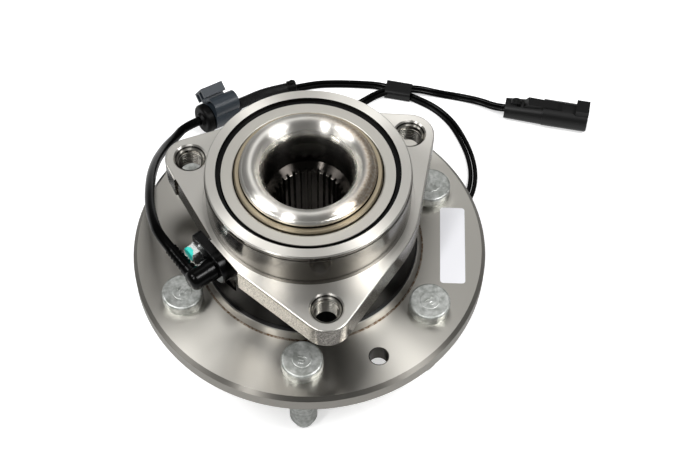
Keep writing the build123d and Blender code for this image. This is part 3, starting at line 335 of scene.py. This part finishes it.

# Ground steel: flat faces painted bright as lit from above, with a soft sheen;
# a glossier wall painted darker as shade, which picks up the lights as upright
# streaks; and a speckled edge.
ring_steel, shader, place, x, z, radius, upward = turned("ground bearing steel", "#c6c3bc", 0.34, 0.86,
                                                         groove_spacing)
flat_face_painted_lit = add(ring_steel, "MapRange", {}, {"Value": upward, "From Min": 0.35, "From Max": 0.85})
tint = add(ring_steel, "Mix", {"data_type": "RGBA"}, {0: flat_face_painted_lit, 6: linear("#67645f"), 7: linear("#e2dfd8")}, 2)
outside_pilot = add(ring_steel, "MapRange", {}, {"Value": radius, "From Min": pilot_radius[0],
                                                "From Max": pilot_radius[1]})
edge_wall = add(ring_steel, "MapRange", {}, {"Value": upward, "From Min": 0.5, "From Max": 0.3})
edge_wall = add(ring_steel, "Math", {"operation": "MULTIPLY"}, {0: edge_wall, 1: outside_pilot})
skin = add(ring_steel, "TexNoise", {}, {"Vector": place, "Scale": 1 / milling_grain, "Detail": 4.0})
skin = add(ring_steel, "MapRange", {}, {"Value": skin, "From Min": 0.42, "From Max": 0.6})
skin = add(ring_steel, "Mix", {"data_type": "RGBA"}, {0: skin, 6: linear("#4f4c47"), 7: linear("#8c8882")}, 2)
tint = add(ring_steel, "Mix", {"data_type": "RGBA"}, {0: edge_wall, 6: tint, 7: skin}, 2)
flat = add(ring_steel, "CombineXYZ", {}, {"X": x, "Y": add(ring_steel, "SeparateXYZ", {}, {0: place}, "Y")})
from_hole = 1.0
for i in range(knuckle_holes):
    heading = first_hole + i * radians(360 / knuckle_holes)
    middle = (knuckle_circle / 2 * cos(heading), knuckle_circle / 2 * sin(heading), 0.0)
    far = add(ring_steel, "VectorMath", {"operation": "DISTANCE"}, {0: flat, 1: middle}, "Value")
    from_hole = add(ring_steel, "Math", {"operation": "MINIMUM"}, {0: from_hole, 1: far})
in_hole = add(ring_steel, "MapRange", {}, {"Value": from_hole, "From Min": hole_radius[0],
                                          "From Max": hole_radius[1]})
# The tapped holes are drawn as thread lines: painted shade in the valleys and a painted highlight on the crests.
crest = add(ring_steel, "Math", {"operation": "PINGPONG"}, {0: z, 1: tapped_pitch / 2})
crest = add(ring_steel, "MapRange", {}, {"Value": crest, "From Min": tapped_pitch * 0.1,
                                         "From Max": tapped_pitch * 0.4})
tapped = add(ring_steel, "Mix", {"data_type": "RGBA"}, {0: crest, 6: linear("#2b2927"), 7: linear("#a5a29b")}, 2)
tint = add(ring_steel, "Mix", {"data_type": "RGBA"}, {0: in_hole, 6: tint, 7: tapped}, 2)
ring_steel.node_tree.links.new(tint, shader.inputs["Base Color"])
polish = add(ring_steel, "MapRange", {}, {"Value": flat_face_painted_lit, "To Min": 0.15, "To Max": 0.40})
ring_steel.node_tree.links.new(polish, shader.inputs["Roughness"])
dress("outer_ring", ring_steel)

# ---------------------------------------------------------------------------
# Knuckle threads: the threads tapped in the three countersunk holes of the
# triangular flange, each one helical ridge that stands in from the wall.
tapped_turns = 6
ridge_height = 0.00055
thread_bore = 0.0062
thread_low = 0.0383
# Cut steel: bright crests with dark valleys between them.
cut_steel = grained("tapped thread steel", "#8f8c86", 1.0, 0.3, 0.0008, 0.000005)[0]
bpy.ops.object.select_all(action="DESELECT")
bpy.ops.mesh.primitive_circle_add(vertices=3, radius=ridge_height, rotation=(radians(90), 0, 0),
                                  location=(thread_bore - ridge_height * 0.3, 0, 0))
helix = bpy.context.object
bpy.ops.object.transform_apply(location=True, rotation=True, scale=True)
screw = helix.modifiers.new("screw", "SCREW")
screw.screw_offset = tapped_pitch
screw.iterations = tapped_turns
screw.steps = 40
screw.render_steps = 40
bpy.ops.object.modifier_apply(modifier="screw")
bpy.ops.object.mode_set(mode="EDIT")
bpy.ops.mesh.select_all(action="SELECT")
bpy.ops.mesh.fill_holes(sides=0)
bpy.ops.mesh.select_all(action="SELECT")
bpy.ops.mesh.normals_make_consistent(inside=False)
bpy.ops.object.mode_set(mode="OBJECT")
for i, thread in enumerate([helix] + [copied(helix) for i in range(knuckle_holes - 1)]):
    heading = first_hole + i * radians(360 / knuckle_holes)
    thread.location = (knuckle_circle / 2 * cos(heading), knuckle_circle / 2 * sin(heading), thread_low)
    placed(thread, "knuckle_thread_%d" % (i + 1), cut_steel, "housing")

# ---------------------------------------------------------------------------
# Outboard shield: a deep-drawn steel cup pressed over the outer ring, with a
# smooth black electrocoat that keeps road spray from the seal.

# Electrocoat: the deepest black of the unit, with only a faint even gloss.
electrocoat, shader = grained("black electrocoat", "#020202", 0.0, 0.35, 0.003, 0.000008)
shader.inputs["Specular IOR Level"].default_value = 0.02
dress("outboard_shield", electrocoat)

# ---------------------------------------------------------------------------
# Tone ring and inboard row: a slotted sintered ring that the sensor reads,
# and the second row of balls in its cage.

# Sintered iron: a dark porous grey, rougher than the turned steel.
dress("tone_ring", grained("sintered iron", "#6e6d6b", 1.0, 0.5, 0.0006, 0.00003)[0])
dress("inboard_balls", ball_steel)
dress("inboard_cage", cage_nylon)

# ---------------------------------------------------------------------------
# Inner ring: a separate ring of bearing steel, ground on its face and held by
# the rolled lip. A film of old grease gives the face its cream tint, and a dark
# line of painted shade lies in the corner under the lip.
lip_shade_radius = (0.0331, 0.0328)
grinding_pitch = 0.0004

# Ground ring steel: a satin cream band with a dark line of painted shade under the lip.
race_steel, shader, place, x, z, radius, upward = turned("ground ring steel", "#cfc3ab", 0.36, 0.5, grinding_pitch)
painted_lip_shade = add(race_steel, "MapRange", {}, {"Value": radius, "From Min": lip_shade_radius[0],
                                             "From Max": lip_shade_radius[1]})
tint = add(race_steel, "Mix", {"data_type": "RGBA"}, {0: painted_lip_shade, 6: linear("#ab9f88"), 7: linear("#2a2722")}, 2)
race_steel.node_tree.links.new(tint, shader.inputs["Base Color"])
dress("inner_ring", race_steel)

# ---------------------------------------------------------------------------
# Inboard seal and slinger: a rubber-covered case in the outer ring, and a
# pressed sheet flinger on the inner ring that turns with it, left dull. A dark
# line of painted shade fills the gap between the flinger and the ring.
gap_shade_radius = (0.0360, 0.0357)

# Pressed sheet: a flat pale grey that spreads the light evenly, with a dark line of painted shade in the gap at
# its inner edge.
slinger_sheet, shader, place, x, z, radius, upward = turned("dull pressed sheet", "#cbc8c0", 0.42, 0.3,
                                                            grinding_pitch)
painted_gap_shade = add(slinger_sheet, "MapRange", {}, {"Value": radius, "From Min": gap_shade_radius[0],
                                            "From Max": gap_shade_radius[1]})
tint = add(slinger_sheet, "Mix", {"data_type": "RGBA"}, {0: painted_gap_shade, 6: linear("#cbc8c0"), 7: linear("#2a2825")}, 2)
slinger_sheet.node_tree.links.new(tint, shader.inputs["Base Color"])
dress("inboard_seal", seal_rubber)
dress("inboard_slinger", slinger_sheet)

# ---------------------------------------------------------------------------
# Wheel speed sensor: a probe, an ear and a head moulded in one from black
# glass-filled nylon, sealed by an O-ring and held by one flanged screw
# through a brass bush.

# Moulded nylon: a clean black with small sharp glints on its edges.
sensor_nylon, shader = grained("moulded black nylon", "#030303", 0.0, 0.2, 0.0009, 0.00001)
shader.inputs["Specular IOR Level"].default_value = 0.12
dress("sensor_body", sensor_nylon)
dress("sensor_o_ring", seal_rubber)
dress("sensor_bush", grained("brass bush", "#b08d57", 1.0, 0.35, 0.0008, 0.00001)[0])

# ---------------------------------------------------------------------------
# Sensor screw: a hexagon flange screw with bright zinc plate. A dab of teal
# paint on its head marks that it has been tightened.
paint_centre = (-0.0607, -0.0207, 0.0440)
paint_radius = 0.0036
paint_edge_grain = 0.002

# Bright zinc: a cold silver with clear reflections, under a flat teal dab
# whose edge is ragged.
bright_zinc, shader = grained("bright zinc plate", "#c9ccca", 1.0, 0.24, 0.0008, 0.00001)
place = add(bright_zinc, "TexCoord", {}, {}, "Object")
ragged = add(bright_zinc, "TexNoise", {}, {"Vector": place, "Scale": 1 / paint_edge_grain})
far = add(bright_zinc, "VectorMath", {"operation": "DISTANCE"}, {0: place, 1: paint_centre}, "Value")
far = add(bright_zinc, "Math", {"operation": "MULTIPLY_ADD"}, {0: ragged, 1: paint_edge_grain, 2: far})
bare = add(bright_zinc, "MapRange", {}, {"Value": far, "From Min": paint_radius + 0.001,
                                         "From Max": paint_radius + 0.0013})
tint = add(bright_zinc, "Mix", {"data_type": "RGBA"}, {0: bare, 6: linear("#2fc7ba"), 7: linear("#dfe2e0")}, 2)
bright_zinc.node_tree.links.new(tint, shader.inputs["Base Color"])
bright_zinc.node_tree.links.new(bare, shader.inputs["Metallic"])
dress("sensor_screw", bright_zinc)

# ---------------------------------------------------------------------------
# Sensor lead: a round two-core cable in a smooth black rubber jacket. It is
# moulded into the sensor's ribbed boot, drops past the rim of the wheel
# flange and ends in the grommet.
lead_diameter = 0.0051
lead_route = [
    (-0.06825, -0.01458, 0.0409), (-0.07335, -0.00575, 0.0409), (-0.0757, 0.0052, 0.0372),
    (-0.0772, 0.0203, 0.0298), (-0.0769, 0.0372, 0.0208), (-0.0758, 0.0547, 0.0095),
    (-0.0735, 0.0724, -0.0038), (-0.0706, 0.0866, -0.0155), (-0.0673, 0.0982, -0.0245),
    (-0.0622, 0.1088, -0.0316), (-0.0571, 0.11821, -0.03548), (-0.0481, 0.1228, -0.0369),
]

# Rubber jacket: a wet-looking black with one thin highlight along it.
jacket, shader = grained("smooth rubber jacket", "#030303", 0.0, 0.2, 0.0015, 0.000004)
shader.inputs["Specular IOR Level"].default_value = 0.05


def spline_cord(name, route, diameter, material, node):
    """A round cord on a smooth spline through a route in metres, in place of its CAD node."""
    data = bpy.data.curves.new(name, "CURVE")
    data.dimensions = "3D"
    data.resolution_u = 10
    data.bevel_depth = diameter / 2
    data.bevel_resolution = 5
    data.use_fill_caps = True
    spline = data.splines.new("NURBS")
    spline.points.add(len(route) - 1)
    for point, place in zip(spline.points, route):
        point.co = (*place, 1.0)
    spline.order_u = 3
    spline.use_endpoint_u = True
    made = bpy.data.objects.new(name, data)
    bpy.context.scene.collection.objects.link(made)
    data.materials.append(material)
    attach(made, "housing")
    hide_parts(node)
    return made


lead = spline_cord("sensor_lead_cable", lead_route, lead_diameter, jacket, "sensor_lead")
dress("lead_boot", jacket)

# ---------------------------------------------------------------------------
# Grommet and edge clip: a moulded rubber grommet with a dished rim round the
# lead, in an extruded clip of blue-grey plastic that hooks on a panel edge.

# Grommet rubber is a soft black, and the clip's plastic a satin blue-grey.
grommet_rubber, shader = grained("moulded grommet rubber", "#050505", 0.0, 0.4, 0.0008, 0.00003)
shader.inputs["Specular IOR Level"].default_value = 0.1
clip_plastic = grained("blue-grey extruded plastic", "#262d34", 0.0, 0.38, 0.0008, 0.00002)[0]
dress("grommet", grommet_rubber)
dress("edge_clip", clip_plastic)

# ---------------------------------------------------------------------------
# Sleeve and breakout: a woven polyester sleeve over the wires, from the
# grommet to the moulded breakout where the two wires come apart.
sleeve_diameter = 0.0064
weave_size = 0.0009
weave_depth = 0.0003
sleeve_route = [
    (-0.02428, 0.13494, -0.04066), (-0.01806, 0.1381, -0.04164), (-0.0108, 0.1432, -0.0443),
    (-0.0026, 0.1449, -0.0443), (0.0055, 0.146, -0.0443),
]

# Woven polyester: a matt black broken up by the knots of the weave, which is
# drawn coarser than the real one because that would not show.
weave, shader = plain("woven polyester sleeve", "#080808", 0.0, 0.5)
shader.inputs["Specular IOR Level"].default_value = 0.2
place = add(weave, "TexCoord", {}, {}, "Object")
strands = add(weave, "TexVoronoi", {}, {"Vector": place, "Scale": 1 / weave_size})
bumps = add(weave, "Bump", {}, {"Distance": weave_depth, "Height": strands})
weave.node_tree.links.new(bumps, shader.inputs["Normal"])
sleeve = spline_cord("woven_sleeve", sleeve_route, sleeve_diameter, weave, "lead_sleeve")
dress("wire_breakout", grommet_rubber)

# ---------------------------------------------------------------------------
# Wires: two thin insulated wires side by side, in one loose loop that a band
# of tape closes where the pair crosses itself, down to the connector.
wire_diameter = 0.0025
wire_pitch = 0.0027
floor_height = -0.0475
crossing_low = 0.0005
crossing_high = 0.0037
pair_route = [
    (0.0315, 0.1474, 0.0), (0.0465, 0.145, 0.0), (0.0625, 0.141, crossing_low), (0.0778, 0.1299, crossing_low),
    (0.0888, 0.1216, 0.0), (0.0964, 0.1104, 0.0), (0.1003, 0.0985, 0.0), (0.103, 0.0845, 0.0),
    (0.1026, 0.0705, 0.0), (0.0984, 0.0578, 0.0), (0.0906, 0.0476, 0.0), (0.079, 0.0452, 0.0),
    (0.0682, 0.0522, 0.0), (0.056, 0.063, 0.0), (0.0435, 0.0735, 0.0), (0.0315, 0.0845, 0.0),
    (0.0225, 0.097, 0.0), (0.0235, 0.111, 0.0), (0.033, 0.122, 0.0), (0.046, 0.13, 0.0),
    (0.0608, 0.1349, crossing_high), (0.0788, 0.1346, crossing_high), (0.093, 0.1314, 0.0), (0.1055, 0.1269, 0.0),
    (0.1164, 0.1212, 0.0012),
]
wire_start = [(0.01046, 0.14667), (0.02036, 0.14802)]
plug_place = (0.1288, 0.1126)
plug_turn = radians(-19.4)
wire_entry = floor_height + 0.0050
wire_height = floor_height + wire_diameter / 2
middle = [(x, y, wire_height) for x, y in wire_start] + [(x, y, wire_height + rise) for x, y, rise in pair_route]
back = 2.2 * wire_diameter
middle.append((plug_place[0] - back * cos(plug_turn), plug_place[1] - back * sin(plug_turn), wire_entry - 0.0006))
middle.append((*plug_place, wire_entry))

# Wire insulation: a glossy black, so each wire keeps its own line of light.
insulation, shader = grained("thin wire insulation", "#030303", 0.0, 0.2, 0.0015, 0.000004)
shader.inputs["Specular IOR Level"].default_value = 0.12


def beside(line, shift):
    """The points of a line moved sideways in plan by a distance, mitred where the line turns."""
    moved = []
    for i, here in enumerate(line):
        near = line[max(i - 1, 0):i + 2]
        ways = [(b[0] - a[0], b[1] - a[1]) for a, b in zip(near, near[1:])]
        ways = [(along / hypot(along, over), over / hypot(along, over)) for along, over in ways]
        across = (-ways[0][1] - ways[-1][1], ways[0][0] + ways[-1][0])
        share = 2 * shift / hypot(*across) ** 2
        moved.append((here[0] + across[0] * share, here[1] + across[1] * share, here[2]))
    return moved


for node, side in (("wire_a", 1), ("wire_b", -1)):
    route = beside(middle, side * wire_pitch / 2)
    wire = spline_cord(node + "_insulated", route, wire_diameter, insulation, node)

# Cloth tape: a duller, rougher black than the wires that it holds.
tape_cloth, shader = grained("cloth tape", "#0a0a0a", 0.0, 0.45, 0.0012, 0.00015)
shader.inputs["Specular IOR Level"].default_value = 0.25
dress("loop_tape", tape_cloth)

# ---------------------------------------------------------------------------
# Connector: a sealed two-way connector in satin black nylon with tin-plated
# pins, at the end of the wires.

# Connector nylon: a satin black that shows the steps of the moulding.
connector_nylon, shader = grained("satin connector nylon", "#0c0c0c", 0.0, 0.4, 0.0009, 0.00002)
shader.inputs["Specular IOR Level"].default_value = 0.25
dress("connector_housing", connector_nylon)
dress("connector_pins", grained("tinned copper", "#cfccc2", 1.0, 0.3, 0.0008, 0.00001)[0])

# ---------------------------------------------------------------------------
# Label: a blank strip of white film with rounded corners, stuck on the flange
# between two studs.
label_size = (0.0125, 0.0455)
label_centre = (0.0712, -0.0109)
label_turn = radians(-10.2)
flange_top = 0.010
label_thick = 0.00012
label_lift = 0.00002
label_corner = 0.0016
bpy.ops.object.select_all(action="DESELECT")
bpy.ops.mesh.primitive_plane_add(size=1.0)
label = bpy.context.object
label.scale = (*label_size, 1.0)
bpy.ops.object.transform_apply(location=False, rotation=False, scale=True)
bpy.ops.object.mode_set(mode="EDIT")
bpy.ops.mesh.select_all(action="SELECT")
bpy.ops.mesh.bevel(offset=label_corner, segments=6, affect="VERTICES")
bpy.ops.mesh.select_all(action="SELECT")
bpy.ops.mesh.extrude_region_move(TRANSFORM_OT_translate={"value": (0, 0, label_thick)})
bpy.ops.mesh.select_all(action="SELECT")
bpy.ops.mesh.normals_make_consistent(inside=False)
bpy.ops.object.mode_set(mode="OBJECT")
label.location = (*label_centre, flange_top + label_lift)
label.rotation_euler = (0, 0, label_turn)

# Label film: a cool white, flat and slightly glossy.
label_film = grained("satin label film", "#efeff3", 0.0, 0.4, 0.004, 0.00001)[0]
placed(label, "blank_label", label_film, "hub")

# ---------------------------------------------------------------------------
# Studio: the unit stands on its stud tips on a white floor, between soft
# lamps over its left and right, with a small one between them and a weaker
# panel behind that the flat faces mirror.
floor_size = 6.0
floor_gap = 0.00005

# Studio floor: a matt white that glows for the camera alone, so that it
# reads as white and still keeps the shadow.
floor_white, shader = plain("white studio floor", "#e6e6e6", 0.0, 0.9)
seen = add(floor_white, "LightPath", {}, {}, "Is Camera Ray")
glow = add(floor_white, "Math", {"operation": "MULTIPLY"}, {0: seen, 1: 0.5})
shader.inputs["Emission Color"].default_value = linear("#ffffff")
floor_white.node_tree.links.new(glow, shader.inputs["Emission Strength"])
bpy.ops.object.select_all(action="DESELECT")
bpy.ops.mesh.primitive_plane_add(size=floor_size, location=(0, 0, floor_height - floor_gap))
floor = bpy.context.object
floor.name = "studio_floor"
floor.data.materials.append(floor_white)

world = bpy.data.worlds.new("studio")
bpy.context.scene.world = world
world.use_nodes = True
sky = world.node_tree.nodes["Background"]
sky.inputs["Color"].default_value = linear("#ffffff")
sky.inputs["Strength"].default_value = 0.16


def lamp(name, place, size, watts):
    """A soft rectangular lamp that faces the hub."""
    data = bpy.data.lights.new(name, "AREA")
    data.shape = "RECTANGLE"
    data.size, data.size_y = size
    data.energy = watts
    made = bpy.data.objects.new(name, data)
    bpy.context.scene.collection.objects.link(made)
    way = Vector((0, 0, 0.02)) - Vector(place)
    made.matrix_world = Matrix.Translation(place) @ way.to_track_quat("-Z", "Y").to_matrix().to_4x4()


lamp("left_lamp", (-0.67, 0.05, 1.0), (0.36, 0.42), 7.0)
lamp("front_lamp", (-0.48, -0.47, 1.0), (0.09, 0.40), 4.8)
lamp("right_lamp", (0.60, -0.325, 1.0), (0.32, 0.42), 9.5)
lamp("back_panel", (0.145, 0.64, 1.0), (0.53, 0.54), 1.1)

# ---------------------------------------------------------------------------
# Camera: looks down on the unit from in front of the sensor's side.
camera_distance = 0.759163
camera_pitch = radians(34.05)
camera_heading = radians(-8.8)
camera_roll = radians(0.77)
camera_target = Vector((0.01732, 0.00763, 0.010))
camera_data = bpy.data.cameras.new("camera")
camera_data.lens = 78.74
camera_data.sensor_width = 36.0
camera_data.clip_start = 0.05
camera_data.clip_end = 20.0
camera = bpy.data.objects.new("camera", camera_data)
bpy.context.scene.collection.objects.link(camera)
aim = Matrix.Rotation(camera_heading, 4, "Z") @ Matrix.Rotation(camera_pitch, 4, "X")
away = aim @ Vector((0, 0, camera_distance))
camera.matrix_world = Matrix.Translation(camera_target + away) @ aim @ Matrix.Rotation(camera_roll, 4, "Z")
bpy.context.scene.camera = camera
bpy.context.scene.view_settings.view_transform = "Standard"
